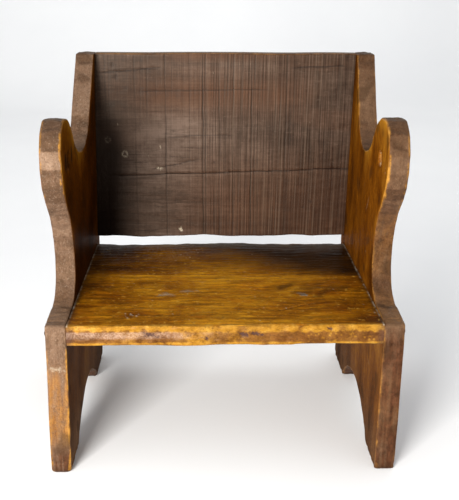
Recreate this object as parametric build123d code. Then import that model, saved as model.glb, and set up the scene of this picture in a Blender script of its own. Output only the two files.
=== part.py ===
from build123d import *
import os

# A child's pew. Two shaped end boards carry a flush seat board between them and
# an upright back board that stands just behind the seat. The boards are butted
# together and nailed through the outer faces of the ends.
# Millimetres. +Z up, front towards -Y, origin on the floor at the centre.

# Overall sizes
width_between_ends = 500.0
seat_height = 259.0
seat_depth = 440.0
arm_rise = 310.0
post_rise = 69.0

# Boards, the gaps beside the back board, and how far arrises are worn round
end_thickness = 33.0
seat_thickness = 33.0
back_thickness = 30.0
back_behind_seat = 2.0
back_above_seat = 15.0
end_arris = 3.0
seat_arris = 2.5
back_arris = 2.0

# End outline below the seat: two feet with one low arch between them
front_foot_length = 88.0
rear_foot_length = 110.0
arch_rise = 60.0
heel_radius = 18.0

# End outline above the seat, a row of guide corners each rounded by an arc.
# Setbacks are from the front edge, reaches from the rear edge.
shelf_slope_rise = 7.0
shelf_corner_radius = 56.0
neck_setback = 128.0
neck_rise = 120.0
neck_radius = 146.0
nose_setback = 41.0
nose_rise = 213.0
nose_radius = 96.0
brow_radius = 53.0
crown_length = 94.0
crown_radius = 96.0
dip_drop = 83.0
dip_run = 83.0
dip_front_radius = 120.0
post_foot_reach = 149.0
post_foot_radius = 96.0
post_depth = 47.0
post_corner_radius = 5.0

# Blind round eye bored into the inner face of each arm
eye_diameter = 28.0
eye_depth = 8.0
eye_setback = 110.0
eye_drop = 68.0

# Cut nails: square shanks driven tight, faceted heads on the outer faces
nail_shank = 4.0
nail_tip = 1.5
nail_bite = 38.0
nail_head = 12.0
nail_head_crown = 5.0
nail_head_height = 3.5
nail_clearance = 0.0
nail_edge_inset = 14.0
seat_nail_rear_inset = 60.0
back_nail_inset = 42.0

# Planes and levels that more than one piece is set from
overall_depth = seat_depth + back_behind_seat + back_thickness
front_y = -overall_depth / 2
rear_y = overall_depth / 2
seat_rear_y = front_y + seat_depth
back_middle_y = rear_y - back_thickness / 2
inner_x = width_between_ends / 2
outer_x = inner_x + end_thickness
seat_middle = seat_height - seat_thickness / 2
back_bottom = seat_height + back_above_seat
arm_height = seat_height + arm_rise
overall_height = arm_height + post_rise
sides = {"left": -1, "right": 1}

seat_nails = {
    "front": (front_y + nail_edge_inset, seat_middle),
    "middle": (front_y + seat_depth / 2, seat_middle),
    "rear": (seat_rear_y - seat_nail_rear_inset, seat_middle),
}
back_nails = {
    "low": (back_middle_y, back_bottom + back_nail_inset),
    "middle": (back_middle_y, (back_bottom + overall_height) / 2),
    "high": (back_middle_y, overall_height - back_nail_inset),
}


def end_outline():
    """The end board from its side: X is the setback from the front, Y the height."""
    crown_setback = nose_setback + crown_length
    dip_height = arm_height - dip_drop
    heel_setback = overall_depth - rear_foot_length
    arch_middle = (front_foot_length + heel_setback) / 2
    guide = [
        (front_foot_length, 0),
        (0, 0),
        (0, seat_height),
        (neck_setback, seat_height + shelf_slope_rise),
        (neck_setback, seat_height + neck_rise),
        (nose_setback, seat_height + nose_rise),
        (nose_setback, arm_height),
        (crown_setback, arm_height),
        (crown_setback + dip_run, dip_height),
        (overall_depth - post_foot_reach, dip_height),
        (overall_depth - post_depth, overall_height),
        (overall_depth, overall_height),
        (overall_depth, 0),
        (heel_setback, 0),
    ]
    # one radius for each guide corner, sharp at the toe and the seat's front edge
    radii = [
        0,
        0,
        shelf_corner_radius,
        neck_radius,
        nose_radius,
        brow_radius,
        crown_radius,
        dip_front_radius,
        post_foot_radius,
        post_corner_radius,
        post_corner_radius,
        heel_radius,
    ]
    with BuildLine() as outline:
        board_edge = FilletPolyline(*guide, radius=radii)
        ThreePointArc(board_edge @ 1, (arch_middle, arch_rise), board_edge @ 0)
    return make_face(outline.edges())


def nail(side, place, clearance=0.0):
    """One nail driven inwards through an end at place, a (Y, height) pair."""
    y, height = place
    size = nail_shank + 2 * clearance
    tip = nail_tip + 2 * clearance

    def across(x, width):
        plane = Plane(origin=(side * x, y, height), z_dir=(1, 0, 0))
        return plane * Rectangle(width, width)

    shank = loft([across(outer_x, size), across(inner_x - nail_bite, tip)])
    head_top = outer_x + nail_head_height
    head = loft([across(outer_x, nail_head), across(head_top, nail_head_crown)])
    return shank + head


def end_board(side):
    """One shaped end, its inner face at half the width between the ends."""
    flat = Plane(origin=(side * inner_x, front_y, 0), x_dir=(0, 1, 0), z_dir=(1, 0, 0))
    board = extrude(flat * end_outline(), amount=side * end_thickness)
    rims = board.faces().filter_by(Axis.X).edges()
    board = fillet(rims, end_arris)
    eye_centre = (side * inner_x, front_y + eye_setback, arm_height - eye_drop)
    eye = Plane(origin=eye_centre, z_dir=(side, 0, 0)) * Circle(eye_diameter / 2)
    board -= extrude(eye, amount=eye_depth)
    for place in [*seat_nails.values(), *back_nails.values()]:
        board -= nail(side, place, nail_clearance)
    return board


def plank(front, rear, bottom, top, arris, nails):
    """A board that fits between the ends, its long edges rounded, drilled for nails."""
    middle = (0, (front + rear) / 2, (bottom + top) / 2)
    board = Pos(*middle) * Box(width_between_ends, rear - front, top - bottom)
    board = fillet(board.edges().filter_by(Axis.X), arris)
    for side in sides.values():
        for place in nails.values():
            board -= nail(side, place, nail_clearance)
    return board


def write(name, solid):
    """One STEP file for each piece, named after it."""
    solid.label = name
    export_step(solid, "parts/" + name + ".step")


os.makedirs("parts", exist_ok=True)

seat_bottom = seat_height - seat_thickness
write("seat_board", plank(front_y, seat_rear_y, seat_bottom, seat_height, seat_arris, seat_nails))
back_front_y = rear_y - back_thickness
write("back_board", plank(back_front_y, rear_y, back_bottom, overall_height, back_arris, back_nails))
for side_name, side in sides.items():
    write(side_name + "_end", end_board(side))
    for position, place in seat_nails.items():
        write(side_name + "_seat_nail_" + position, nail(side, place))
    for position, place in back_nails.items():
        write(side_name + "_back_nail_" + position, nail(side, place))
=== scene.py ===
"""A child's church pew of old varnished pine: two shaped ends, a seat, a back board and their nails."""
from functools import reduce

import bpy
import numpy as np
from mathutils import Matrix, Vector


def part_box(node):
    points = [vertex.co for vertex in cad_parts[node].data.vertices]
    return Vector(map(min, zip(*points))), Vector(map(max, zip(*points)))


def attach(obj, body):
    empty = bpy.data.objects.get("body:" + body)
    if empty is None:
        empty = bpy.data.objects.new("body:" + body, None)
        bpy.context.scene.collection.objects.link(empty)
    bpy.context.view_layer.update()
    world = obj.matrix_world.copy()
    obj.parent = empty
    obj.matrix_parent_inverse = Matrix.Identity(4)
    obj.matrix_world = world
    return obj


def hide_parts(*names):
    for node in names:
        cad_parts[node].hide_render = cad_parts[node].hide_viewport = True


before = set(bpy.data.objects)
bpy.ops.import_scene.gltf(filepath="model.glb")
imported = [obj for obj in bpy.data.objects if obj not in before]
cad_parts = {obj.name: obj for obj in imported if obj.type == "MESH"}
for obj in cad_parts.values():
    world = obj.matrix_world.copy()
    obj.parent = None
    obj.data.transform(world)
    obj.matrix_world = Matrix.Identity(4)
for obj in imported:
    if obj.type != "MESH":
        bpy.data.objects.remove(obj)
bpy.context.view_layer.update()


# ---- The end boards ---------------------------------------------------------------
# Each end is one wide pine plank, sawn to its outline of feet, neck, arm and post and
# cleaned up with a spokeshave, which left flats along the curves. Amber varnish inside,
# grey-brown handled wood on the sawn edges, rubbed to bare gold along the arrises.

end_low, end_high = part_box("right_end")
seat_low, seat_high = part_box("seat_board")
back_low, back_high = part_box("back_board")
inner_x, outer_x = end_low.x, end_high.x
front_y = end_low.y
end_depth = end_high.y - end_low.y
seat_top = seat_high.z
post_top = end_high.z
neck_setback, arm_setback = 0.128, 0.041
arm_top = seat_top + 0.31
dip_height = arm_top - 0.083
arch_middle, arch_top, arch_radius = 0.225, 0.1485, 0.184

# guide corners of the side outline: setback from the front edge, height, corner radius
end_guide = np.array([
    (0.0, 0.0, 0.005),
    (0.0, seat_top, 0.005),
    (neck_setback, seat_top + 0.007, 0.055),
    (neck_setback, seat_top + 0.12, 0.145),
    (arm_setback, seat_top + 0.213, 0.096),
    (arm_setback, arm_top, 0.053),
    (0.135, arm_top, 0.096),
    (0.218, dip_height, 0.12),
    (end_depth - 0.149, dip_height, 0.096),
    (end_depth - 0.047, post_top, 0.006),
    (end_depth, post_top, 0.007),
    (end_depth, 0.0, 0.018),
    (end_depth - 0.11, 0.0, 0.005),
    (arch_middle, arch_top, arch_radius),
    (0.088, 0.0, 0.005),
])
outline_count = 840
face_middle = np.array([0.3, 0.25])
eye_place = np.array([0.11, arm_top - 0.068])
eye_radius, eye_depth = 0.014, 0.008


def smooth(value, low, high):
    """0 up to low, 1 from high on, and 3 q^2 - 2 q^3 between, q being the share of the way."""
    q = np.clip((value - low) / (high - low), 0, 1)
    return q * q * (3 - 2 * q)


def fade(value, low, high):
    """1 up to low, 0 from high on, as smooth between."""
    return 1 - smooth(value, low, high)


def bump_at(value, middle, width):
    """A smooth hump, 1 at the middle and exp(-1) one width away from it."""
    return np.exp(-((value - middle) / width) ** 2)


def waves(seed, length, *places, count=9):
    """Smooth noise of about unit size: a sum of sines of random direction and about one wavelength."""
    draw = np.random.default_rng(seed)
    total = 0.0
    for _ in range(count):
        turns = draw.normal(size=len(places)) * 2 * np.pi / length / np.sqrt(len(places))
        phase = draw.uniform(0, 2 * np.pi)
        total = total + np.sin(sum(turn * place for turn, place in zip(turns, places)) + phase)
    return total * np.sqrt(2 / count)


def spots(seed, count, low, high, sizes, a, b):
    """1 inside small scattered round marks on the plane (a, b) and 0 outside, soft at their rims."""
    draw = np.random.default_rng(seed)
    total = np.zeros(np.broadcast(a, b).shape)
    for _ in range(count):
        at = draw.uniform(low, high)
        size = draw.uniform(*sizes)
        far = np.hypot((a - at[0]) / size, (b - at[1]) / size)
        total = np.maximum(total, fade(far, 0.5, 1.2))
    return total


def patches(table, a, b, rim, low, high, slope=0.0):
    """Ragged ellipses on the plane (a, b), strong inside and 0 outside.

    Each row of the table holds where its middle is, its half width and height, and its strength. The
    share of the way out to the rim, with the noise rim added, is faded from low to high.
    """
    total = np.zeros_like(a)
    for at_a, at_b, wide, tall, strength in table:
        off = np.hypot((a - at_a) / wide, (b - at_b + slope * (a - at_a)) / tall) + rim
        total = np.maximum(total, strength * fade(off, low, high))
    return total


def rounded_outline(corners, count):
    """A closed polygon whose corners (a, b, radius) become tangent arcs, as evenly spaced points.

    Where the sides meet at an angle w, the arc starts radius / tan(w / 2) from the corner and
    its centre lies radius / sin(w / 2) from it, along the bisector.
    """
    runs = []
    for before, here, after in zip(np.roll(corners, 1, 0), corners, np.roll(corners, -1, 0)):
        arrive = (before - here)[:2] / np.linalg.norm((before - here)[:2])
        leave = (after - here)[:2] / np.linalg.norm((after - here)[:2])
        half = np.arccos(np.clip(arrive @ leave, -1, 1)) / 2
        reach = here[2] / np.tan(half)
        bisector = (arrive + leave) / np.linalg.norm(arrive + leave)
        centre = here[:2] + bisector * here[2] / np.sin(half)
        start, end = here[:2] + arrive * reach - centre, here[:2] + leave * reach - centre
        first = np.arctan2(start[1], start[0])
        turn = (np.arctan2(end[1], end[0]) - first + np.pi) % (2 * np.pi) - np.pi
        angles = first + turn * np.linspace(0, 1, 60)
        runs.append(centre + here[2] * np.stack([np.cos(angles), np.sin(angles)], 1))
    loop = np.concatenate(runs + [runs[0][:1]])
    along = np.concatenate([[0], np.cumsum(np.linalg.norm(np.diff(loop, axis=0), axis=1))])
    even = np.linspace(0, along[-1], count, endpoint=False)
    return np.stack([np.interp(even, along, loop[:, 0]), np.interp(even, along, loop[:, 1])], 1), even


def settled(grid):
    """Where age has moved each point: the back leans to the right and the feet have shifted to the left.

    Above the seat x gains lean * height * s, with s rising from 0 at the arms to 1 at the back, and below
    it x loses shift * depth.
    """
    lean, shift = 0.023, 0.014
    above = np.maximum(grid[..., 2] - seat_top, 0)
    below = np.maximum(seat_low.z - grid[..., 2], 0)
    moved = grid.copy()
    moved[..., 0] += lean * above * smooth(grid[..., 1], -0.08, 0.2) - shift * below
    return moved


def placed(name, data):
    """A new object that holds the data, put in the scene."""
    thing = bpy.data.objects.new(name, data)
    bpy.context.scene.collection.objects.link(thing)
    return thing


def shell(name, grid, marks, material, inward=False):
    """A closed skin over rings of points, (rings, round, 3), with a pole at the middle of each end ring.

    marks holds one number a point under each name, which the material reads as an attribute.
    """
    grid = settled(grid)
    rings, around = grid.shape[:2]
    index = np.arange(rings * around).reshape(rings, around)
    beside = np.roll(index, -1, 1)
    quads = np.stack([index[:-1], beside[:-1], beside[1:], index[1:]], -1).reshape(-1, 4)
    first, last = rings * around, rings * around + 1
    caps = np.concatenate([
        np.stack([np.full(around, first), beside[0], index[0]], -1),
        np.stack([np.full(around, last), index[-1], beside[-1]], -1),
    ])
    if inward:
        quads, caps = quads[:, ::-1], caps[:, ::-1]
    points = np.concatenate([grid.reshape(-1, 3), grid[:1].mean(1), grid[-1:].mean(1)])
    mesh = bpy.data.meshes.new(name)
    mesh.from_pydata(points.tolist(), [], quads.tolist() + caps.tolist())
    mesh.shade_smooth()
    mesh.set_sharp_from_angle(angle=np.radians(58))
    for label, value in marks.items():
        value = np.broadcast_to(value, (rings, around))
        layer = mesh.attributes.new(label, "FLOAT", "POINT")
        ends = [value[0].mean(), value[-1].mean()]
        layer.data.foreach_set("value", np.concatenate([value.ravel(), ends]).astype(np.float32))
    mesh.materials.append(material)
    return placed(name, mesh)


class Finish:
    """A material under construction: each call adds a node, fills its sockets and gives its output."""

    def __init__(self, name):
        self.material = bpy.data.materials.new(name)
        self.material.use_nodes = True
        self.tree = self.material.node_tree
        self.skin = self.tree.nodes["Principled BSDF"]
        self.place = self.add("TexCoord", {}, 3)
        self.base = None

    def fill(self, socket, value):
        if isinstance(value, bpy.types.NodeSocket):
            self.tree.links.new(value, socket)
        else:
            socket.default_value = value

    def add(self, kind, sockets, output=0, **settings):
        node = self.tree.nodes.new("ShaderNode" + kind)
        for key, value in settings.items():
            setattr(node, key, value)
        for key, value in sockets.items():
            self.fill(node.inputs[key], value)
        return node.outputs[output]

    def marks(self, labels):
        """The points' own numbers, by name."""
        return [self.add("Attribute", {}, 2, attribute_name=label) for label in labels.split()]

    def noise(self, per_metre, detail=3.0, rough=0.55, warp=0.0):
        """Noise with its own number of waves a metre along x, y and z."""
        stretched = self.add("Mapping", {"Vector": self.place, "Scale": per_metre})
        return self.add("TexNoise", {"Vector": stretched, "Scale": 1.0, "Detail": detail,
                                     "Roughness": rough, "Distortion": warp})

    def times(self, a, b):
        return self.add("Math", {0: a, 1: b}, operation="MULTIPLY")

    def plus(self, a, b):
        return self.add("Math", {0: a, 1: b}, operation="ADD")

    def less(self, a, b):
        return self.add("Math", {0: a, 1: b}, operation="SUBTRACT")

    def mix_of(self, *parts):
        """The sum of several values, each times its own share."""
        total = self.times(*parts[0])
        for value, share in parts[1:]:
            total = self.add("Math", {0: value, 1: share, 2: total}, operation="MULTIPLY_ADD")
        return total

    def spread(self, value, low, high, start=0.0, end=1.0):
        """start where the value is low, end where it is high, straight between."""
        return self.add("MapRange", {"Value": value, "From Min": low, "From Max": high,
                                     "To Min": start, "To Max": end})

    def ramp(self, value, stops):
        node = self.tree.nodes.new("ShaderNodeValToRGB")
        steps = node.color_ramp.elements
        for _ in range(len(stops) - 2):
            steps.new(0.5)
        for step, (place, colour) in zip(steps, stops):
            step.position = place
            step.color = (*colour, 1)
        self.fill(node.inputs[0], value)
        return node.outputs[0]

    def over(self, below, above, *shares, how="MIX"):
        """The colour above laid over the one below, to the product of the shares."""
        below, above = [(*c, 1) if isinstance(c, tuple) else c for c in (below, above)]
        share = reduce(self.times, shares)
        return self.add("Mix", {0: share, 6: below, 7: above}, 2, data_type="RGBA", blend_type=how)

    def lay(self, colour, *shares, how="MIX"):
        """Lay a colour over the base, to the product of the shares."""
        self.base = self.over(self.base, colour, *shares, how=how)

    def surface(self, sockets):
        """Fill the finished surface's own sockets, by name."""
        for key, value in sockets.items():
            self.fill(self.skin.inputs[key], value)

    def raise_by(self, height, distance, strength=1.0):
        bump = self.add("Bump", {"Height": height, "Distance": distance, "Strength": strength})
        self.surface({"Normal": bump})


def end_finish(name, edge_light, gloss, figure):
    """Grain up the board; the sawn edges are grey-brown, the worn marks and a painted highlight golden, the
    grimy marks and painted shade dark.

    edge_light tints the sawn edges, lighter and greyer on the left end as painted light and sheen from the
    window; gloss is the varnish's shine, and figure the number of broad waves a metre across the grain.
    """
    wood = Finish(name)
    edge, wear, grime, pale, tone, amber, russet = wood.marks(
        "edge wear grime pale tone amber russet")
    broad = wood.noise((figure, figure, 2.4), 3, 0.55, 0.8)
    streak = wood.noise((170, 170, 5.5), 4, 0.62, 0.4)
    hair = wood.noise((360, 360, 11), 2, 0.5)
    fine = wood.noise((800, 800, 24), 3, 0.6)
    mottle = wood.noise((105, 105, 70), 6, 0.72)
    speck = wood.noise((340, 340, 300), 3, 0.65)
    grain = wood.mix_of(
        (broad, 0.26), (streak, 0.13), (hair, 0.17), (fine, 0.12), (mottle, 0.32), (tone, 1.0))
    face = wood.ramp(grain, [
        (0.34, (0.02, 0.0055, 0.0008)),
        (0.44, (0.06, 0.016, 0.0011)),
        (0.53, (0.118, 0.035, 0.0019)),
        (0.64, (0.215, 0.086, 0.0075)),
        (0.8, (0.42, 0.195, 0.016)),
    ])
    sawn = wood.ramp(wood.mix_of((mottle, 0.38), (hair, 0.18), (speck, 0.44), (tone, 1.0)), [
        (0.36, (0.0418, 0.0216, 0.01125)),
        (0.46, (0.0745, 0.0405, 0.0225)),
        (0.58, (0.1043, 0.0612, 0.03563)),
        (0.72, (0.1537, 0.0945, 0.05812)),
    ])
    sawn = wood.over(sawn, edge_light, 1.0, how="MULTIPLY")
    dashes = wood.times(wood.spread(wood.noise((250, 250, 8), 2), 0.56, 0.68), 0.3)
    face = wood.over(face, (0.012, 0.003, 0.0002), dashes)
    glints = wood.spread(wood.noise((380, 380, 260), 3, 0.6), 0.56, 0.74)
    face = wood.over(face, (0.26, 0.105, 0.006), glints, 0.35)
    edge_glint = tuple(0.21 * light * part for light, part in zip(edge_light, (1.0, 0.72, 0.48)))
    sawn = wood.over(sawn, edge_glint, glints, 0.4)
    orange = wood.ramp(wood.mix_of((streak, 0.6), (speck, 0.4)), [
        (0.36, (0.095, 0.032, 0.006)),
        (0.5, (0.19, 0.076, 0.014)),
        (0.64, (0.33, 0.155, 0.034)),
    ])
    sawn = wood.over(sawn, orange, amber, wood.spread(mottle, 0.22, 0.54))
    red_brown = wood.ramp(mottle, [(0.34, (0.022, 0.0072, 0.0032)), (0.66, (0.078, 0.0285, 0.013))])
    sawn = wood.over(sawn, red_brown, russet, wood.spread(streak, 0.18, 0.5))
    wood.base = wood.over(face, sawn, edge)
    gold = wood.ramp(mottle, [(0.35, (0.17, 0.068, 0.007)), (0.65, (0.38, 0.18, 0.03))])
    flecked = wood.mix_of((speck, 0.7), (mottle, 0.3), (wear, 0.35))
    # gold where the arrises are worn, and a painted highlight on the rear wall of the right eye
    gold_laid = wood.times(wear, wood.spread(flecked, 0.56, 0.76))
    wood.lay(gold, gold_laid)
    # dark grime, and painted shade in the eyes' bores
    in_patches = wood.spread(wood.plus(mottle, wood.times(grime, 0.4)), 0.42, 0.76)
    wood.lay((0.02, 0.009, 0.004), grime, in_patches)
    # pale specks of old paint and a chip, and a painted highlight on the rear wall of the right eye
    wood.lay((0.3, 0.24, 0.17), pale, wood.spread(speck, 0.4, 0.58))
    pits = wood.times(edge, wood.spread(speck, 0.54, 0.68))
    wood.lay((0.04, 0.018, 0.009), pits, 0.65)
    rough = wood.plus(wood.spread(mottle, 0.2, 0.9), wood.times(edge, 0.45))
    wood.surface({"Base Color": wood.base, "Roughness": wood.spread(rough, 0, 1, 0.34, 0.62),
                  "Specular IOR Level": gloss, "Specular Tint": (1.0, 0.68, 0.35, 1)})
    relief = wood.plus(wood.times(fine, 0.6), wood.times(mottle, 0.8))
    wood.raise_by(wood.less(relief, wood.times(pits, 0.6)), 0.0011, 0.55)
    return wood.material


def end_board(side, seed, varnish, inner_varnish):
    """One end as rings of points: out over the inner face, round the sawn edge and in over the outer face.

    On a face a point is the share r of the way from the middle to the rim, the outline drawn in by the
    arris radius. Round an arris of radius R the turn a runs from 0 to a right angle: the point is
    R (1 - sin a) inside the outline and R (1 - cos a) below the face.
    """
    outline, along = rounded_outline(end_guide, outline_count)
    tangent = np.roll(outline, -1, 0) - np.roll(outline, 1, 0)
    tangent /= np.linalg.norm(tangent, axis=1, keepdims=True)
    outward = np.stack([-tangent[:, 1], tangent[:, 0]], 1)
    setback, height = outline.T
    bend = np.abs(np.roll(tangent, -6, 0) - np.roll(tangent, 6, 0)).sum(1)
    handled = smooth(height, 0.3, 0.42) * fade(setback, 0.2, 0.3)
    foot = fade(height, 0.0, 0.035)

    # spokeshave flats on the curves, each painted a little lighter or darker as painted light and shade,
    # and the saw's slow waver
    flat_length, flat_depth = 0.033, 0.0012
    strokes = along / flat_length + 0.35 * waves(seed, 0.4, along)
    hollow = 1 - (2 * (strokes % 1) - 1) ** 2
    flats = smooth(bend, 0.1, 0.3) * fade(bend, 0.9, 1.4) * hollow
    waver = 0.00035 * waves(seed + 1, 0.2, along) - flat_depth * flats
    stroke_tones = np.random.default_rng(seed + 20).uniform(-1, 1, 400)
    flat_lit_tone = stroke_tones[np.floor(strokes).astype(int) % 400] * smooth(height, 0.24, 0.29)
    outline = outline + outward * waver[:, None]
    least_chip = 0.0032 if side < 0 else 0.0012
    chips = foot * (least_chip + 0.0034 * np.clip(waves(seed + 2, 0.03, along), 0, 1))

    worn = 0.5 + 0.5 * np.clip(waves(seed + 3, 0.07, along), -1, 1)
    inner_arris = 0.0015 + 0.0006 * worn + 0.0009 * handled + chips
    outer_arris = 0.0014 + 0.0005 * worn + 0.0004 * handled + chips

    face_shares = np.concatenate([
        np.linspace(0.05, 0.6, 10, endpoint=False),
        np.linspace(0.6, 0.76, 6, endpoint=False),
        np.linspace(0.76, 0.915, 30, endpoint=False),
        np.linspace(0.915, 0.995, 6),
    ])
    turns = np.linspace(0, np.pi / 2, 6)
    thickness = outer_x - inner_x
    rows = []
    rim = outline - outward * inner_arris[:, None]
    for r in face_shares:
        rows.append((face_middle + r * (rim - face_middle), np.zeros(outline_count), 0 * r, 0.0))
    for a in turns:
        place = outline - outward * (inner_arris * (1 - np.sin(a)))[:, None]
        rows.append((place, inner_arris * (1 - np.cos(a)), smooth(a, 0.2, 1.5), 1.0))
    for q in np.linspace(0, 1, 11)[1:-1]:
        sink = inner_arris + q * (thickness - inner_arris - outer_arris)
        crown = 0.0007 * (1 - (2 * q - 1) ** 2)
        tool = 0.00028 * waves(seed + 4, 0.012, along + 0.25 * sink) * (0.4 + handled)
        dents = 0.0004 * waves(seed + 5, 0.022, along, sink)
        rows.append((outline + outward * (tool + dents + crown)[:, None], sink, 1.0, 0.0))
    for a in turns[::-1]:
        place = outline - outward * (outer_arris * (1 - np.sin(a)))[:, None]
        rows.append((place, thickness - outer_arris * (1 - np.cos(a)), smooth(a, 0.2, 1.5), 0.7))
    rim = outline - outward * outer_arris[:, None]
    for r in np.linspace(0.05, 0.995, 22)[::-1]:
        rows.append((face_middle + r * (rim - face_middle), np.full(outline_count, thickness), 0.0, 0.0))

    flat, sink = (np.stack([row[part] for row in rows]) for part in (0, 1))
    edge, arris = (np.outer([row[part] for row in rows], np.ones(outline_count)) for part in (2, 3))
    inside = np.arange(len(rows))[:, None] < len(face_shares) + len(turns)

    # the blind eye in the arm: nearby points are gathered to its rim, and those within it sink
    from_eye = flat - eye_place
    far = np.linalg.norm(from_eye, axis=2)
    toward = from_eye / (far + 0.004)[..., None]
    off = far - eye_radius * (1 + 0.03 * waves(seed + 6, 0.02, toward[..., 0], toward[..., 1]))
    gather = 0.0045
    pulled = np.where(np.abs(off) < gather, off * np.abs(off) / gather, off)
    near_eye = inside & (far < eye_radius + gather)
    drawn = eye_place + from_eye * ((far - off + pulled) / (far + 1e-9))[..., None]
    flat = np.where(near_eye[..., None], drawn, flat)
    hole = fade(off, -0.0016, 0.0012) * inside
    sink = sink + eye_depth * hole

    # the faces are not quite flat, except where the seat and the back are nailed on
    flat[..., 1] = np.maximum(flat[..., 1], 0)
    y, z = flat[..., 0] + front_y, flat[..., 1]
    on_face = np.abs(sink - thickness / 2) > thickness / 2 - 0.0001
    joint = fade(np.abs(z - (seat_top + seat_low.z) / 2), 0.03, 0.06) + smooth(y, 0.17, 0.2)
    ripple = 0.00035 * waves(seed + 7, 0.09, y, z * 0.3) * (1 - np.clip(joint, 0, 1))
    sink = sink + np.where(on_face & inside, ripple, 0) - np.where(on_face & ~inside, ripple, 0)

    x = side * (inner_x + sink)
    grid = np.stack([x, y, z], -1)

    # gold on the arrises: most round the arm, less down the neck and on the legs
    break_up = np.clip(0.66 + 0.48 * waves(seed + 8, 0.026, y, z, sink * 3), 0, 1)
    from_rim = np.linalg.norm(outline - flat, axis=2)
    beside_arris = np.exp(-from_rim / 0.0035) * (1 - edge)
    on_arm = smooth(z, 0.4, 0.46) * fade(y, 0.0, 0.06)
    on_leg = fade(z, 0.2, 0.25)
    rubbing = 0.25 + 0.58 * on_arm + (0.55 if side < 0 else 0.2) * on_leg
    if side > 0:
        rubbing = rubbing + 0.28 * (1 - on_arm) * (1 - on_leg)
    wear = np.maximum(arris, 0.8 * beside_arris) * break_up * rubbing * np.where(inside, 1, 1.15)

    # how light or dark the wood is: flats painted lighter and darker, a painted glow on the inner face
    # behind the arm's rim, painted shade deep inside the left face and low at the rear below the seat
    tone = 0.035 * waves(seed + 12, 0.1, y, z * 0.5, sink) + (0.05 + 0.09 * on_arm) * edge * flat_lit_tone
    lit_arm_face = inside * (1 - edge) * smooth(z, 0.3, 0.42) * fade(y, -0.02, 0.09)
    glow_width = 0.036 if side < 0 else 0.05
    tone = tone + 0.14 * lit_arm_face * np.exp(-from_rim / glow_width)
    shade_under_seat = smooth(y, 0.0, 0.15) * fade(z, 0.15, 0.23)
    # painted shade deep in the left face above the seat, and low at the rear below the seat
    shade_deep_in = (1 - np.exp(-from_rim / 0.03)) * (z > seat_top) * (side < 0)
    tone = tone - inside * (1 - edge) * (0.08 * shade_under_seat + 0.06 * shade_deep_in)
    shelf = edge * bump_at(z, seat_top + 0.004, 0.012)
    shelf = shelf * smooth(y, front_y, front_y + 0.012) * (y < 0)
    tone = tone + (0.04 if side < 0 else 0.15) * shelf

    # amber varnish left on the sawn edge of the legs, and red-brown on the feet
    patchy = np.clip(0.88 + 0.25 * waves(seed + 13, 0.05, y, z * 0.6, sink * 3), 0, 1)
    on_shin = smooth(z, 0.03, 0.08) * fade(z, 0.15, 0.21)
    amber = edge * on_shin * (0.9 if side < 0 else 0.35) * patchy
    if side > 0:
        on_neck = smooth(z, 0.285, 0.31) * fade(z, 0.38, 0.43)
        amber = np.maximum(amber, 0.4 * edge * on_neck * patchy)
    amber = np.maximum(amber, (0.15 if side < 0 else 0.45) * shelf)
    redness = 0.1
    if side > 0:
        redness = 0.22 + 0.15 * fade(z, 0.4, 0.52) + 0.7 * fade(z, 0.22, 0.26)
    redness = redness * patchy * (np.abs(z - seat_top) > 0.004)
    russet = edge * np.maximum(0.95 * fade(z, 0.025, 0.06), redness)

    # grime along the joints, in the arch and in a few stains, and painted shade in the eyes' bores
    seat_line = bump_at(z, seat_top, 0.006) * (y < seat_high.y)
    below = bump_at(z, seat_low.z, 0.007) * (y < seat_high.y)
    back_line = bump_at(y, back_low.y, 0.008) * (z > back_low.z)
    in_arch = edge * np.exp(-((y - front_y - arch_middle) / 0.1) ** 4) * (z < 0.16)
    across, up = from_eye[..., 0], from_eye[..., 1]
    # painted shade in the eye's bore: on the left the whole bore with three dark upright strokes, on the
    # right its front half
    if side < 0:
        bore_shadow = sum(bump_at(across, at, 0.009) for at in (-0.026, 0.004, 0.04))
        bore_shadow = bore_shadow * np.exp(-(up / 0.015) ** 4)
        eye_shade = np.maximum(hole, np.clip(1.2 * bore_shadow, 0, 1) * inside)
    else:
        eye_shade = 0.5 * hole * (across < -0.004)
    joint_grime = np.maximum.reduce([0.55 * seat_line, 0.6 * below, 0.7 * back_line]) * inside
    grime = np.maximum.reduce([eye_shade, joint_grime, 0.75 * in_arch])
    grime = np.maximum(grime, 0.55 * smooth(waves(seed + 10, 0.05, y, z, sink), 0.9, 1.9))
    grime = np.maximum(grime, 0.5 * fade(z, 0.0, 0.02))

    # pale specks of old paint, a painted highlight on the rear wall of the right eye, and a chip on the
    # left leg
    rear_y = front_y + end_depth
    pale = 0.6 * spots(seed + 11, 40, (front_y, 0), (rear_y, post_top), (0.0008, 0.0018), y, z)
    if side > 0:
        # painted highlight on the rear wall of the right eye's bore, gold and pale
        wear = np.maximum(wear, hole * (across >= -0.004))
        pale = np.maximum(pale, hole * bump_at(across, 0.008, 0.005))
    else:
        from_chip = np.hypot((sink - 0.017) / 0.01, (z - 0.186) / 0.0036)
        from_chip = from_chip + 0.4 * waves(seed + 14, 0.006, sink, z)
        pale = np.maximum(pale, edge * fade(from_chip, 0.4, 1.3))

    # below the seat the inner face has lost its varnish, most of all low down
    dulled = inside * fade(z, 0.21, 0.23) * (0.28 + 0.4 * fade(z, 0.02, 0.12))
    marks = {"edge": np.maximum(edge, dulled), "wear": wear, "grime": grime, "pale": pale,
             "tone": tone, "amber": amber, "russet": russet}
    piece = shell(name_of[side] + "_end_wood", grid, marks, varnish, inward=side > 0)
    piece.data.materials.append(inner_varnish)
    ring = np.arange(len(piece.data.polygons)) // outline_count
    inner = (ring < len(face_shares)) | (ring == len(rows) - 1)
    piece.data.polygons.foreach_set("material_index", inner.astype(np.int32))
    return piece


name_of = {-1: "left", 1: "right"}
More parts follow.
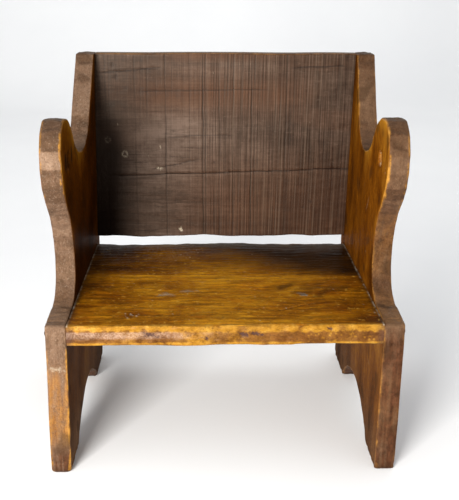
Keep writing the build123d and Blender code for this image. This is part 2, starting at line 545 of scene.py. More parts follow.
# the left end's sawn edges are tinted lighter and greyer than the right's: painted light and sheen from the
# window at the left front
for side, seed, edge_light in ((-1, 100, (1.44, 1.53, 1.7)), (1, 200, (0.93, 0.87, 0.82))):
    varnish = end_finish(name_of[side] + "_end_varnish", edge_light, 0.14, 14)
    inner_varnish = end_finish(name_of[side] + "_end_inner_varnish", edge_light, 0.002, 4)
    piece = end_board(side, seed, varnish, inner_varnish)
    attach(piece, "root")
    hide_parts(name_of[side] + "_end")


# ---- The seat board ---------------------------------------------------------------
# One thick plank let in between the ends and nailed through them. Its top is golden
# where it is sat on and dark with old varnish at the rear; knees and hands have
# rounded the front arrises, and the edges still waver where the saw ran.

seat_stations, seat_counts = 300, (170, 14, 52, 26)


def gathered(value, target, reach):
    """value drawn towards target wherever it lies within reach of it, more the nearer it is."""
    off = value - target
    return np.where(np.abs(off) < reach, target + off * np.abs(off) / reach, value)


def board_rings(x, low, high, radii, counts):
    """A rounded rectangle in the plane across the board at each station x, as rings of (x, y, z).

    It runs over the top from front to rear, down the rear, back under the board and up the front.
    radii holds one array for each corner: front top, rear top, rear bottom, front bottom. A corner's
    points are its arc centre + R (cos w, sin w), with w turning clockwise through a right angle.
    Gives the rings, their outward normals, and the number of each point's face: 0 top, 1 rear,
    2 underside, 3 front, and a half less at the corner before it.
    """
    corners = [(low[0], high[1], 180), (high[0], high[1], 90), (high[0], low[1], 0), (low[0], low[1], -90)]
    corner_points = 7
    turn = np.radians(np.linspace(0, 90, corner_points))
    arcs, normals = [], []
    for (y, z, first), radius in zip(corners, radii):
        w = np.radians(first) - turn
        to_y, to_z = np.sign(low[0] + high[0] - 2 * y), np.sign(low[1] + high[1] - 2 * z)
        centre_y, centre_z = y + to_y * radius, z + to_z * radius
        arcs.append(np.stack([centre_y[:, None] + radius[:, None] * np.cos(w),
                              centre_z[:, None] + radius[:, None] * np.sin(w)], -1))
        normals.append(np.broadcast_to(np.stack([np.cos(w), np.sin(w)], -1), arcs[-1].shape))
    loop, facing, number = [], [], []
    for k, count in enumerate(counts):
        q = np.linspace(0, 1, count + 2)[1:-1]
        start, end = arcs[k][:, -1:], arcs[(k + 1) % 4][:, :1]
        loop += [arcs[k], start + (end - start) * q[None, :, None]]
        facing += [normals[k], np.broadcast_to(normals[k][:, -1:], (len(x), count, 2))]
        number += [np.full(corner_points, k - 0.5), np.full(count, float(k))]
    loop, facing = np.concatenate(loop, 1), np.concatenate(facing, 1)
    grid = np.concatenate([np.broadcast_to(x[:, None, None], (*loop.shape[:2], 1)), loop], 2)
    return grid, facing, np.concatenate(number)


def seat_finish():
    """Golden grain along the board; stains, bare patches, rubbed gold and the raw underside lie over it."""
    wood = Finish("seat_varnish")
    stain, bare, gold, under, front, specks, dust, bleached, tone = wood.marks(
        "stain bare gold under front speck dust bleached tone")
    broad = wood.noise((6, 13, 13), 4, 0.6, 1.2)
    streak = wood.noise((6, 90, 90), 5, 0.66, 0.6)
    hair = wood.noise((34, 170, 170), 3, 0.6)
    fine = wood.noise((60, 800, 800), 3, 0.6)
    mottle = wood.noise((48, 60, 60), 6, 0.74, 0.4)
    speck = wood.noise((360, 360, 360), 3, 0.65)
    grain = wood.mix_of(
        (broad, 0.26), (streak, 0.16), (hair, 0.14), (fine, 0.12), (mottle, 0.32), (tone, 1.0))
    wood.base = wood.ramp(grain, [
        (0.36, (0.06, 0.017, 0.0005)),
        (0.45, (0.15, 0.0475, 0.0006)),
        (0.54, (0.268, 0.099, 0.0016)),
        (0.66, (0.43, 0.188, 0.007)),
    ])
    ruddy = wood.spread(wood.noise((14, 30, 30), 5, 0.68, 0.8), 0.48, 0.62)
    wood.lay((0.96, 0.76, 0.45), ruddy, 0.6, how="MULTIPLY")
    dashes = wood.spread(wood.noise((11, 105, 105), 3, 0.6), 0.59, 0.635)
    wood.lay((0.05, 0.015, 0.0008), dashes, 0.28)
    flecks = wood.spread(wood.noise((62, 150, 150), 3, 0.6), 0.595, 0.64)
    wood.lay((0.04, 0.012, 0.0007), flecks, 0.38)
    glints = wood.spread(wood.noise((120, 105, 105), 3, 0.65), 0.61, 0.66)
    wood.lay((0.5, 0.27, 0.04), glints, 0.5)

    old_varnish = wood.ramp(grain, [(0.38, (0.01, 0.003, 0.0003)), (0.62, (0.06, 0.022, 0.0022))])
    uneven = wood.spread(wood.mix_of((streak, 0.35), (mottle, 0.65), (stain, 0.35)), 0.34, 0.66)
    wood.lay(old_varnish, stain, uneven)
    plum = wood.ramp(mottle, [(0.36, (0.043, 0.0142, 0.004)), (0.6, (0.106, 0.0425, 0.012))])
    wood.lay(plum, front, 0.85)
    gold_laid = wood.ramp(mottle, [
        (0.34, (0.161, 0.0627, 0.0036)),
        (0.5, (0.252, 0.1155, 0.0108)),
        (0.66, (0.329, 0.172, 0.027)),
    ])
    in_patches = wood.spread(wood.plus(mottle, wood.times(gold, 0.4)), 0.45, 0.75)
    wood.lay(gold_laid, gold, in_patches)
    # painted cream sheen on the left of the front edge
    cream = wood.ramp(speck, [(0.36, (0.125, 0.07, 0.05)), (0.62, (0.43, 0.3, 0.22))])
    wood.lay(cream, bleached, wood.spread(mottle, 0.34, 0.76))
    grey = wood.ramp(streak, [(0.35, (0.08, 0.062, 0.044)), (0.65, (0.27, 0.225, 0.17))])
    wood.lay(grey, bare, wood.spread(mottle, 0.3, 0.6))
    raw_wood = wood.ramp(streak, [(0.35, (0.045, 0.022, 0.009)), (0.65, (0.12, 0.068, 0.03))])
    wood.lay(raw_wood, under, 0.85)
    wood.lay((0.045, 0.022, 0.02), stain, wood.times(front, 0.9))
    wood.lay((0.62, 0.55, 0.44), specks, wood.spread(speck, 0.42, 0.55))
    wood.lay((0.3, 0.25, 0.19), dust, wood.spread(mottle, 0.3, 0.6))
    pits = wood.spread(speck, 0.57, 0.67)
    wood.lay((0.035, 0.014, 0.005), pits, 0.55)
    rough = wood.plus(wood.spread(mottle, 0.25, 0.8), wood.times(wood.plus(under, bare), 0.6))
    wood.surface({"Base Color": wood.base, "Roughness": wood.spread(rough, 0, 1, 0.3, 0.6),
                  "Specular IOR Level": 0.1, "Specular Tint": (1.0, 0.7, 0.38, 1),
                  "Coat Weight": 0.02, "Coat Roughness": 0.25})
    relief = wood.plus(wood.times(fine, 0.5), wood.times(mottle, 0.7))
    wood.raise_by(wood.less(relief, wood.times(pits, 0.5)), 0.001, 0.5)
    return wood.material


seat_x = np.linspace(seat_low.x, seat_high.x, seat_stations)
front_top = 0.0046 + 0.0008 * waves(301, 0.16, seat_x) + 0.0003 * waves(302, 0.04, seat_x)
front_bottom = 0.0032 + 0.0006 * waves(303, 0.14, seat_x)
rear_top = 0.0028 + 0.0008 * waves(304, 0.06, seat_x)
grid, normal, face_number = board_rings(
    seat_x, (seat_low.y, seat_low.z), (seat_high.y, seat_high.z),
    (front_top, rear_top, np.full(seat_stations, 0.003), front_bottom), seat_counts)
x, y, z = grid[..., 0], grid[..., 1].copy(), grid[..., 2].copy()
on_top = normal[..., 1] > 0.6
on_front = normal[..., 0] < -0.6

# a fine check in the right of the top, along the grain
check_y = -0.157 + 0.55 * (x - 0.115) + 0.0012 * waves(305, 0.02, x)
check_here = smooth(x, 0.078, 0.09) * fade(x, 0.14, 0.156)
y = np.where(on_top & (face_number == 0), y + (gathered(y, check_y, 0.006) - y) * check_here, y)
check = bump_at(y, check_y, 0.0008) * check_here * on_top

# grain ridges, the hollow worn by sitting, and knocks
ridge = 0.00022 * waves(306, 0.01, y + 0.004 * waves(307, 0.2, x), x * 0.04) * on_top
worn = -0.0007 * bump_at(x, 0, 0.17) * bump_at(y, -0.05, 0.13) * on_top
knocks = spots(308, 46, (-0.24, -0.22), (0.24, 0.2), (0.0014, 0.0046), x, y) * on_top
up = z - seat_low.z
front_dents = (
    (-0.119, 0.018, 0.014, 0.004, 1),
    (0.028, 0.017, 0.009, 0.005, 1),
    (0.048, 0.019, 0.011, 0.003, 1),
    (0.164, 0.026, 0.005, 0.003, 1),
    (-0.03, 0.012, 0.004, 0.003, 1),
)
dents = patches(front_dents, x, up, 0.25 * waves(309, 0.006, x, z), 0.45, 1.1, slope=0.2) * on_front
z += ridge + worn - 0.0005 * knocks - 0.0016 * check
rough_front = 0.00045 * waves(310, 0.016, x, z * 1.6) + 0.0005 * waves(311, 0.055, x, z)
y += np.where(on_front, rough_front + 0.0012 * dents, 0)

# the saw's waver along the rear edge, the underside and the lower front arris
rear = smooth(y, seat_high.y - 0.02, seat_high.y)
y += rear * (0.0016 * waves(312, 0.17, x) - 0.0006 * np.abs(waves(313, 0.03, x)) - 0.001)
lower = fade(z, seat_low.z, seat_low.z + 0.012)
z += lower * 0.0007 * waves(314, 0.11, x, y)
z -= rear * on_top * 0.0022 * smooth(np.abs(x + 0.03), 0.05, 0.24)
up = z - seat_low.z

# how light the top is: golden where it is sat on, with a lighter line and band at the step in the varnish
step_y = 0.003 + 0.0025 * waves(315, 0.2, x)
past_step = y - step_y
to_the_left = smooth(-x, 0.05, 0.2)
tone = 0.095 * bump_at(x, 0.01, 0.15) * fade(y, 0.02, 0.16) - 0.025 * smooth(np.abs(x), 0.13, 0.24)
tone = tone + 0.022 * waves(324, 0.09, x * 0.5, y) + 0.012 * waves(325, 0.035, x * 0.8, y)
lit_band = bump_at(past_step, -0.016, 0.013) * (0.3 + 0.7 * smooth(x, -0.2, -0.12))
lit_band = lit_band * fade(x, 0.14, 0.2)
step_line = bump_at(past_step, 0, 0.0022) * smooth(x, -0.23, -0.16) * fade(x, 0.02, 0.08)
tone = tone - 0.03 * smooth(past_step, 0.0, 0.004) + 0.14 * step_line + 0.08 * lit_band
tone = tone - 0.03 * to_the_left * smooth(y, 0.0, 0.06)

# old varnish lies dark at the rear and to the right, beside the ends and in stains
rear_dark = smooth(past_step, 0.0, 0.05) * (0.45 + 0.25 * to_the_left) + smooth(y, 0.13, 0.19) * 0.3
right_dark = smooth(x + 0.9 * y, 0.02, 0.28) * smooth(past_step, -0.012, 0.004)
stain = np.clip(rear_dark * 0.6 + 0.85 * right_dark, 0, 1)
top_stains = (
    (0.097, -0.056, 0.036, 0.01, 0.75),
    (-0.211, -0.06, 0.03, 0.016, 0.45),
    (-0.041, -0.19, 0.1, 0.006, 0.5),
    (0.06, -0.205, 0.13, 0.006, 0.45),
    (-0.03, 0.05, 0.05, 0.012, 0.35),
    (0.17, -0.065, 0.07, 0.034, 0.55),
    (-0.2, 0.035, 0.04, 0.012, 0.4),
    (-0.17, -0.165, 0.05, 0.008, 0.4),
)
stain = np.maximum(stain, patches(top_stains, x, y, 0.3 * waves(316, 0.02, x * 0.4, y), 0.3, 1.25))
stain = np.maximum(stain, 0.35 * smooth(waves(317, 0.028, x * 0.3, y), 0.7, 2.0)) * on_top
beside_ends = np.maximum(smooth(x, 0.235, 0.25), fade(x, -0.25, -0.235))
stain = np.maximum.reduce([stain, dents, check, 0.6 * beside_ends])

# bare grey wood in three worn patches and along the rear
bare_patches = (
    (-0.101, -0.095, 0.014, 0.01, 1),
    (-0.062, -0.078, 0.012, 0.006, 1),
    (0.135, -0.095, 0.01, 0.008, 1),
)
bare = patches(bare_patches, x, y, 0.35 * waves(318, 0.01, x, y), 0.5, 1.1)
grey_rear = smooth(y, 0.165, 0.195) * 0.45 * (on_top | (normal[..., 0] > 0.5))
bare = np.maximum(bare, grey_rear) * (on_top | (y > 0.15))

# pale specks on the top, and dust in the joints at both ends
specks = on_top * np.maximum.reduce([
    0.6 * spots(319, 46, (-0.25, -0.23), (0.25, 0.21), (0.0006, 0.0014), x, y),
    0.9 * spots(327, 12, (-0.12, 0.09), (-0.04, 0.17), (0.0007, 0.0018), x, y),
    0.9 * spots(328, 9, (-0.18, -0.2), (-0.14, -0.18), (0.0008, 0.0022), x, y),
])
near_end = np.maximum(smooth(x, 0.2465, 0.2488), fade(x, -0.2488, -0.2465)) * on_top
dust = 0.85 * near_end * (0.6 + 0.4 * waves(321, 0.03, y))

# gold rubbed on the arrises, in bands and spots of the front edge: how far along it, half width, how much
arris = (face_number % 1 > 0) * np.select([face_number == -0.5, face_number == 2.5], [1.0, 0.9], 0.4)
arris = np.maximum(arris, smooth(-y, 0.2255, 0.2315) * on_top)
gold_from = up + 0.0012 * waves(326, 0.02, x) - 0.0022 * smooth(-x, 0.08, 0.16)
arris = np.maximum(arris, on_front * (smooth(gold_from, 0.019, 0.0255) + 1 - smooth(up, 0.003, 0.007)))
gold = np.clip(arris * (0.85 + 0.35 * waves(322, 0.035, x, y + z)), 0, 1)
wander = 0.006 * waves(323, 0.02, x, z)
for at_x, half, much in (
        (-0.15, 0.014, 0.45), (-0.045, 0.024, 0.9), (0.012, 0.012, 0.6), (0.205, 0.03, 0.15)):
    gold = np.maximum(gold, on_front * much * bump_at(x, at_x - wander, half))
gold_spots = spots(320, 44, (0.13, 0.004), (0.245, 0.024), (0.0007, 0.0025), x, up)
gold = np.maximum(gold, 0.65 * gold_spots * on_front)

# the left of the front edge carries a painted cream sheen between its gold bands
between_bands = smooth(up, 0.009, 0.014) * fade(up, 0.021, 0.024)
bleached = smooth(-x, -0.04, 0.16) * on_front * between_bands
under = ((normal[..., 1] < -0.6) | (normal[..., 0] > 0.6)) * 1.0

marks = {"stain": stain, "bare": bare, "gold": gold, "under": under, "front": on_front * 1.0,
         "speck": specks, "dust": dust, "tone": tone, "bleached": bleached}
piece = shell("seat_wood_board", np.stack([x, y, z], -1), marks, seat_finish(), inward=True)
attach(piece, "root")
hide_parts("seat_board")


# ---- The back board ---------------------------------------------------------------
# One wide plank set upright between the posts, its grain across the pew. Its front was
# left from the saw, so upright tooth marks cross the grain, close together to the right;
# the varnish has gone nearly black over them. A long shake runs across it.

back_stations, back_counts = 400, (7, 86, 7, 112)


def tooth_marks(seed, x, z, close, extra, first, last):
    """Upright saw lines: a sum of narrow dips in x, each fading in and out along z.

    The lines lie about close apart right of last and close + extra apart left of first.
    """
    draw = np.random.default_rng(seed)
    total = np.zeros_like(x)
    at = back_low.x
    while at < back_high.x:
        at += (close + extra * (1 - float(smooth(at, first, last)))) * draw.uniform(0.5, 1.5)
        depth = draw.uniform(0.25, 1.0)
        wide = draw.uniform(0.0007, 0.0016)
        phase, run = draw.uniform(0, 6.3), draw.uniform(0.12, 0.5)
        here = 0.65 + 0.35 * np.sin(z * 2 * np.pi / run + phase)
        total += depth * here * bump_at(x, at + 0.004 * (z - 0.45), wide)
    return total


def back_finish():
    """Nearly black varnish on grain along the board, which fades where the upright saw lines are dense."""
    wood = Finish("back_varnish")
    saw, rib, shake, warm, gloom, chip, top, rear, sawn, tone = wood.marks(
        "saw rib shake warm gloom chip top rear sawn tone")
    broad = wood.noise((3.2, 18, 18), 3, 0.55, 1.2)
    streak = wood.noise((7, 130, 130), 4, 0.62, 0.6)
    hair = wood.noise((22, 300, 300), 2, 0.5)
    fine = wood.noise((30, 800, 800), 3, 0.6)
    upright = wood.noise((430, 200, 6), 3, 0.6)
    mottle = wood.noise((60, 60, 60), 5, 0.66)
    speck = wood.noise((420, 420, 420), 2, 0.6)
    along_the_board = wood.mix_of((broad, 0.28), (streak, 0.16), (hair, 0.12))
    sawn_away = wood.times(wood.less(along_the_board, 0.28), sawn)
    tooth_lines = wood.times(wood.less(upright, 0.5), sawn)
    grain = wood.mix_of((along_the_board, 1.0), (sawn_away, -0.5), (tooth_lines, 0.5), (mottle, 0.24),
                        (tone, 1.0), (0.5, 0.2))
    wood.base = wood.ramp(grain, [
        (0.39, (0.0115, 0.0048, 0.0023)),
        (0.47, (0.033, 0.0173, 0.0105)),
        (0.54, (0.059, 0.035, 0.0236)),
        (0.63, (0.109, 0.072, 0.053)),
    ])
    dashes = wood.spread(wood.noise((14, 190, 190), 4, 0.65, 0.4), 0.57, 0.64)
    fewer_where_sawn = wood.spread(sawn, 0, 1, 0.55, 0.2)
    wood.lay((0.009, 0.004, 0.0022), dashes, fewer_where_sawn)
    glints = wood.spread(wood.noise((70, 300, 300), 2), 0.61, 0.71)
    wood.lay((0.15, 0.105, 0.074), glints, 0.16)
    red_brown = wood.ramp(grain, [(0.36, (0.029, 0.0097, 0.0038)), (0.66, (0.085, 0.0352, 0.0152))])
    wood.lay(red_brown, warm, 0.85)
    # lighter ribs between the saw lines: raised ribs, with a painted highlight where they catch the light
    wood.lay((0.108, 0.0735, 0.04896), rib, 0.5)
    wood.lay((0.0085, 0.0038, 0.002), saw, 0.88)
    # painted shadow of the left end: nearly black, low at the left of the front
    wood.lay((0.006, 0.002, 0.0006), gloom)
    worn_top = wood.ramp(mottle, [(0.36, (0.06, 0.024, 0.006)), (0.64, (0.17, 0.078, 0.022))])
    wood.lay(worn_top, top, 0.8)
    rear_grain = wood.mix_of((broad, 0.36), (streak, 0.26), (hair, 0.14), (mottle, 0.24))
    rear_wood = wood.ramp(rear_grain, [
        (0.34, (0.035, 0.015, 0.005)),
        (0.5, (0.078, 0.037, 0.014)),
        (0.68, (0.135, 0.07, 0.029)),
    ])
    wood.lay(rear_wood, rear)
    wood.lay((0.008, 0.004, 0.003), shake)
    wood.lay((0.34, 0.28, 0.2), chip, wood.spread(speck, 0.36, 0.52))
    wood.surface({"Base Color": wood.base, "Roughness": wood.spread(mottle, 0.25, 0.75, 0.42, 0.64),
                  "Specular IOR Level": 0.16, "Specular Tint": (1.0, 0.82, 0.66, 1),
                  "Coat Weight": 0.02, "Coat Roughness": 0.35})
    relief = wood.plus(wood.times(fine, 0.5), wood.times(upright, 0.7))
    wood.raise_by(wood.plus(relief, wood.times(mottle, 0.5)), 0.0011, 0.55)
    return wood.material


back_x = np.linspace(back_low.x, back_high.x, back_stations)
grid, normal, _ = board_rings(
    back_x, (back_low.y, back_low.z), (back_high.y, back_high.z),
    (0.0024 + 0.0005 * waves(401, 0.2, back_x), 0.0022 + 0.0004 * waves(402, 0.15, back_x),
     np.full(back_stations, 0.002), 0.002 + 0.0003 * waves(403, 0.12, back_x)), back_counts)
x, y, z = grid[..., 0], grid[..., 1].copy(), grid[..., 2].copy()
on_front = normal[..., 0] < -0.6
on_rear = normal[..., 0] > 0.6
leaning_x = settled(grid)[..., 0]

# the shakes: where each starts and ends along x, its height and slope, its depth and half width
shakes = (
    (-0.225, 0.3, 0.3995, 0.027, 0.0011, 0.0006),
    (-0.245, -0.1, 0.6, 0.088, 0.0007, 0.0008),
    (0.128, 0.256, 0.61, 0.04, 0.0007, 0.0007),
    (-0.15, -0.028, 0.4095, 0.205, 0.0004, 0.0007),
    (-0.17, 0.1, 0.565, 0.015, 0.0004, 0.0007),
    (-0.12, 0.04, 0.4755, 0.035, 0.0003, 0.0006),
)
shake, shake_relief = np.zeros_like(x), np.zeros_like(x)
for number, (first, last, height, slope, deep, half) in enumerate(shakes):
    wander = 0.0006 * waves(430 + number, 0.12, x) + 0.00015 * waves(440 + number, 0.02, x)
    line = height + slope * (leaning_x - first) + wander
    here = smooth(leaning_x, first, first + 0.025) * fade(leaning_x, last - 0.03, last) * on_front
    z = z + (gathered(z, line, 0.007) - z) * here
    groove = here * bump_at(z, line, half)
    shake = np.maximum(shake, groove * min(1.0, 0.35 + deep / 0.0011))
    shake_relief = shake_relief + deep * groove

# the saw's tooth marks, with the deeper ones of them: where, half width, depth
saw_lines = tooth_marks(406, x, z, 0.0045, 0.0095, -0.12, 0.0)
# the ribs between the tooth marks are raised, and they also carry a painted highlight
lit_ribs = tooth_marks(408, x, z, 0.007, 0.02, -0.1, 0.02)
deep_lines = (
    (-0.2244, 0.001, 0.5), (-0.1675, 0.0011, 0.6), (-0.1085, 0.0013, 0.9), (-0.062, 0.0009, 0.4),
    (-0.0356, 0.0013, 1.1), (-0.0305, 0.0012, 0.9), (-0.004, 0.0012, 0.7), (0.0236, 0.0011, 0.75),
    (0.04, 0.0009, 0.5), (0.0592, 0.0012, 1.0), (0.0655, 0.001, 0.6), (0.1266, 0.0012, 0.8),
)
strong = np.zeros_like(x)
for at_x, wide, much in deep_lines:
    bent = at_x + 0.002 * (z - 0.45) + 0.0004 * waves(407, 0.08, z)
    strong += much * bump_at(leaning_x, bent, wide) * (0.8 + 0.2 * np.sin(z * 30 + at_x * 400))
for_front = on_front * smooth(z, back_low.z, back_low.z + 0.004)
right_part = smooth(x, -0.09, 0.0)
high_band = smooth(z, 0.5, 0.54) * fade(z, 0.6, 0.62)
dense = 0.55 + 0.45 * np.maximum(smooth(x, -0.08, 0.02), high_band)
saw = np.clip(0.6 * saw_lines * dense + strong, 0, 1.4) * for_front

# the grain's arches round the heart of the tree, then rings of plugs, small holes and pale chips
heart = bump_at(x, -0.155, 0.1) * bump_at(z, 0.47, 0.09)
cathedral = waves(410, 0.016, z + 0.01 * waves(409, 0.35, x) + 0.022 * heart, x * 0.03)
plug = np.zeros_like(x)
for at_x, at_z, size, much in ((-0.1894, 0.4429, 0.0048, 1.0), (-0.2217, 0.4708, 0.0045, 0.35)):
    plug = np.maximum(plug, much * bump_at(np.hypot(leaning_x - at_x, z - at_z), size, 0.0016))
plug = plug * on_front
knot_holes = (
    (-0.0139, 0.4265, 0.0028, 0.00224, 1.0),
    (-0.2087, 0.6155, 0.0052, 0.00416, 0.6),
    (-0.203, 0.594, 0.0064, 0.00512, 0.6),
    (0.18, 0.345, 0.0045, 0.0036, 0.6),
    (0.165, 0.333, 0.003, 0.0024, 0.6),
)
hole = patches(knot_holes, leaning_x, z, 0.2 * waves(412, 0.004, x, z), 0.4, 1.1) * on_front
pale_chips = (
    (-0.1191, 0.4136, 0.0062, 0.0022, 1),
    (-0.0811, 0.2885, 0.0036, 0.0036, 1),
    (-0.1195, 0.456, 0.0012, 0.003, 1),
)
chips = patches(pale_chips, leaning_x, z, 0.3 * waves(413, 0.004, x, z), 0.5, 1.2)
paint_specks = spots(414, 18, (-0.25, 0.28), (0.25, 0.63), (0.0005, 0.0012), x, z)
chips = np.maximum(chips, 0.4 * paint_specks) * on_front

relief = -0.0006 * saw + 0.00016 * lit_ribs * for_front + 0.0001 * cathedral * on_front
relief = relief - shake_relief - 0.001 * hole - 0.0005 * chips - 0.0004 * plug
y -= np.where(on_front, relief, 0)
y += on_rear * (0.0003 * waves(415, 0.05, x * 0.3, z) + 0.00025 * waves(416, 0.006, x * 0.05, z))
bottom = fade(z, back_low.z, back_low.z + 0.02)
z += bottom * (0.0008 * waves(417, 0.22, x) + 0.00022 * waves(418, 0.05, x))
top = smooth(z, back_high.z - 0.02, back_high.z)
z += top * (0.0004 * waves(419, 0.25, x) - 0.0003)

# how light and how warm the front is: a painted shadow of the left end, darkest low at the left, a painted
# pool of light beside it left of the middle, and warm in a band high up and low at the right
gloom = 0.95 * fade(x, -0.222, -0.155) * fade(z, 0.44, 0.6)
# a painted pool of light left of the middle, low on the board; then darker to the right and low down
tone = 0.07 * bump_at(x, -0.09, 0.08) * fade(z, 0.5, 0.6) - 0.028 * smooth(x, 0.04, 0.14)
tone = tone - 0.045 * fade(z, 0.33, 0.46) * smooth(x, -0.2, -0.05) - 0.022 * smooth(x, 0.05, 0.15)
tone = tone + 0.02 * waves(421, 0.1, x * 0.5, z) - 0.035 * smooth(-x, 0.06, 0.2) * smooth(z, 0.48, 0.58)
warm_band = bump_at(z, 0.56, 0.035) * smooth(x, -0.22, -0.12) * fade(x, 0.1, 0.22)
warm_rim = 0.9 * smooth(z, 0.615, 0.634) * smooth(x, -0.17, -0.05) * fade(x, 0.05, 0.25)
warm_patches = 0.35 * smooth(waves(420, 0.1, x * 0.5, z), 0.3, 1.5)
warm_low = 0.85 * fade(z, 0.34, 0.5) * smooth(x, -0.14, 0.04)
warm = np.maximum.reduce([warm_band, warm_rim, warm_patches, warm_low])

marks = {
    "saw": np.clip(saw, 0, 1),
    "rib": np.clip(lit_ribs * for_front, 0, 1) * (0.15 + 0.85 * right_part),
    "shake": np.clip(shake + 0.9 * hole, 0, 1),
    "warm": warm * on_front,
    "gloom": gloom * on_front,
    "chip": np.maximum(chips, 0.55 * plug),
    "tone": tone,
    "sawn": 0.12 + 0.88 * np.maximum(right_part, 0.3 * smooth(z, 0.49, 0.55)),
    "top": (normal[..., 1] > 0.3) * 1.0,
    "rear": on_rear * 1.0,
}
piece = shell("back_wood_board", np.stack([x, y, z], -1), marks, back_finish(), inward=True)
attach(piece, "root")
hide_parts("back_board")


# ---- The nails --------------------------------------------------------------------
# Twelve blacksmith's nails with rose heads, driven through the ends into the seat and
# the back. Each square shank was drawn down to a point, and each head was struck four
# or five times round its crown, then rusted brown under the varnish.


def iron_finish():
    """Forged iron: dark scale that has rusted brown where it is thickest, and pitted."""
    iron = Finish("nail_iron")
    scale = iron.noise((260, 260, 260), 5, 0.7)
    pitting = iron.noise((900, 900, 900), 3, 0.6)
    rust = iron.ramp(scale, [
        (0.36, (0.012, 0.009, 0.008)),
        (0.5, (0.045, 0.03, 0.022)),
        (0.64, (0.11, 0.052, 0.024)),
    ])
    rough = iron.spread(scale, 0.3, 0.7, 0.38, 0.7)
    iron.surface({"Base Color": rust, "Metallic": 0.6, "Roughness": rough})
    iron.raise_by(iron.plus(scale, iron.times(pitting, 0.5)), 0.0006, 0.6)
    return iron.material


def nail(name, side, seed):
    """A nail along x: rings from the head's crown out over its flats, back under it and down the shank.

    The head stands up by h (1 - (r / R)^2)^0.7, with r measured to the flats of a seeded polygon, so
    that each blow leaves a facet. The shank's rings are rounded squares, |cos|^4 + |sin|^4 = 1.
    """
    low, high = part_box(name)
    draw = np.random.default_rng(seed)
    centre_y, centre_z = (low.y + high.y) / 2, (low.z + high.z) / 2
    radius = (high.z - low.z) / 2
    stand = (high.x if side > 0 else -low.x) - outer_x
    reach = outer_x - (low.x if side > 0 else -high.x)
    w = np.linspace(0, 2 * np.pi, 40, endpoint=False)
    blows = draw.integers(4, 6)
    turned = (w + draw.uniform(0, 6.3)) % (2 * np.pi / blows) - np.pi / blows
    flat = np.cos(np.pi / blows) / np.cos(turned)
    rim = radius * (0.97 - 0.045 * draw.uniform(0, 1) * np.abs(np.sin(w * 1.5 + draw.uniform(0, 6.3))))
    rows = []
    for q in np.linspace(0.06, 0.98, 11):
        rise = stand * np.clip(1 - (q / (0.55 + 0.45 * flat)) ** 2 * 0.86, 0.12, 1) ** 0.7
        rows.append(np.stack([outer_x + rise, q * rim * np.cos(w), q * rim * np.sin(w)], -1))
    rows.append(np.stack([outer_x + 0.05 * stand + 0 * w, rim * np.cos(w), rim * np.sin(w)], -1))
    square = (np.abs(np.cos(w)) ** 4 + np.abs(np.sin(w)) ** 4) ** -0.25
    for q, half in ((0.0, 0.0021), (0.5, 0.0018), (0.9, 0.0013), (1.0, 0.0004)):
        shank = half * square
        rows.append(np.stack([outer_x - q * reach + 0 * w, shank * np.cos(w), shank * np.sin(w)], -1))
    grid = np.stack(rows)
    grid = np.stack([side * grid[..., 0], centre_y + grid[..., 1], centre_z + grid[..., 2]], -1)
    return shell(name + "_iron", grid, {}, iron, inward=side < 0)


iron = iron_finish()
nail_places = ["seat_nail_front", "seat_nail_middle", "seat_nail_rear",
               "back_nail_low", "back_nail_middle", "back_nail_high"]
for side in (-1, 1):
    for number, place in enumerate(nail_places):
        name = f"{name_of[side]}_{place}"
        piece = nail(name, side, 500 + number + 10 * side)
        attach(piece, "root")
        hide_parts(name)


# ---- The floor and the light ------------------------------------------------------
# A pale painted floor that curves up into a wall far behind, a soft window light from the
# left front, a broad lamp high up that lights the wall, and a pale sky all round.

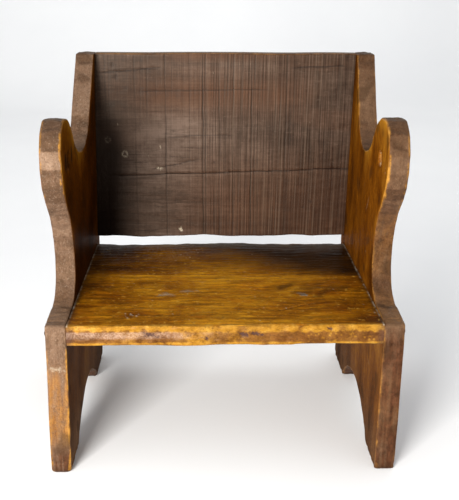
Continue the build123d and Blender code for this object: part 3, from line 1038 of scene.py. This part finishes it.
sweep_near, sweep_far, sweep_half = -12.0, 3.6, 10.0
sweep_radius, wall_top = 1.2, 5.0
turn = np.linspace(0, np.pi / 2, 24)
profile = np.concatenate([
    [(sweep_near, 0.0), (0.0, 0.0)],
    np.stack([sweep_far + sweep_radius * np.sin(turn), sweep_radius * (1 - np.cos(turn))], 1),
    [(sweep_far + sweep_radius, wall_top)],
])
points = np.array([(x, y, z) for x in (-sweep_half, sweep_half) for y, z in profile])
near_side = np.arange(len(profile) - 1)
far_side = near_side + len(profile)
strips = np.stack([near_side, far_side, far_side + 1, near_side + 1], 1)
mesh = bpy.data.meshes.new("floor_sweep")
mesh.from_pydata(points.tolist(), [], strips.tolist())
mesh.shade_smooth()
floor = placed("floor_sweep", mesh)
paint = Finish("floor_paint")
cloudy = paint.noise((1.5, 1.5, 1.5), 3)
white = paint.ramp(cloudy, [(0.3, (0.9, 0.9, 0.9)), (0.7, (0.93, 0.93, 0.925))])
paint.surface({"Base Color": white, "Roughness": 0.85})
mesh.materials.append(paint.material)

for name, power, size, place, aim, colour in (
    ("window_left", 118, 0.8, (-0.85, -2.1, 0.66), (0.0, 0.0, 0.3), (1.0, 0.985, 0.96)),
    ("sweep_light", 40, 2.0, (0.4, 1.3, 3.2), (0.6, 4.2, 0.6), (1.0, 1.0, 1.0)),
):
    lamp = bpy.data.lights.new(name, "AREA")
    lamp.energy, lamp.size, lamp.color = power, size, colour
    lamp_object = placed(name, lamp)
    lamp_object.location = place
    lamp_object.rotation_euler = (Vector(aim) - Vector(place)).to_track_quat("-Z", "Y").to_euler()

world = bpy.data.worlds.new("pale_room")
world.use_nodes = True
sky = world.node_tree.nodes["Background"].inputs
sky["Color"].default_value = (0.95, 0.97, 1.0, 1)
sky["Strength"].default_value = 0.62
bpy.context.scene.world = world
bpy.context.scene.view_settings.view_transform = "Standard"


# ---- The camera -------------------------------------------------------------------
# A longish lens well over a metre in front of the pew, above its post tops and looking
# down on the seat, a little left of the middle.

camera_place = Vector((-0.0307, -1.5244, 0.7909))
camera_turn, camera_down, camera_roll = 0.02782, 0.30633, 0.00394
lens = bpy.data.cameras.new("camera")
lens.sensor_width = 36
lens.lens = 63.9
camera = placed("camera", lens)
camera.matrix_world = (
    Matrix.Translation(camera_place)
    @ Matrix.Rotation(-camera_turn, 4, "Z")
    @ Matrix.Rotation(np.pi / 2 - camera_down, 4, "X")
    @ Matrix.Rotation(camera_roll, 4, "Z"))
bpy.context.scene.camera = camera
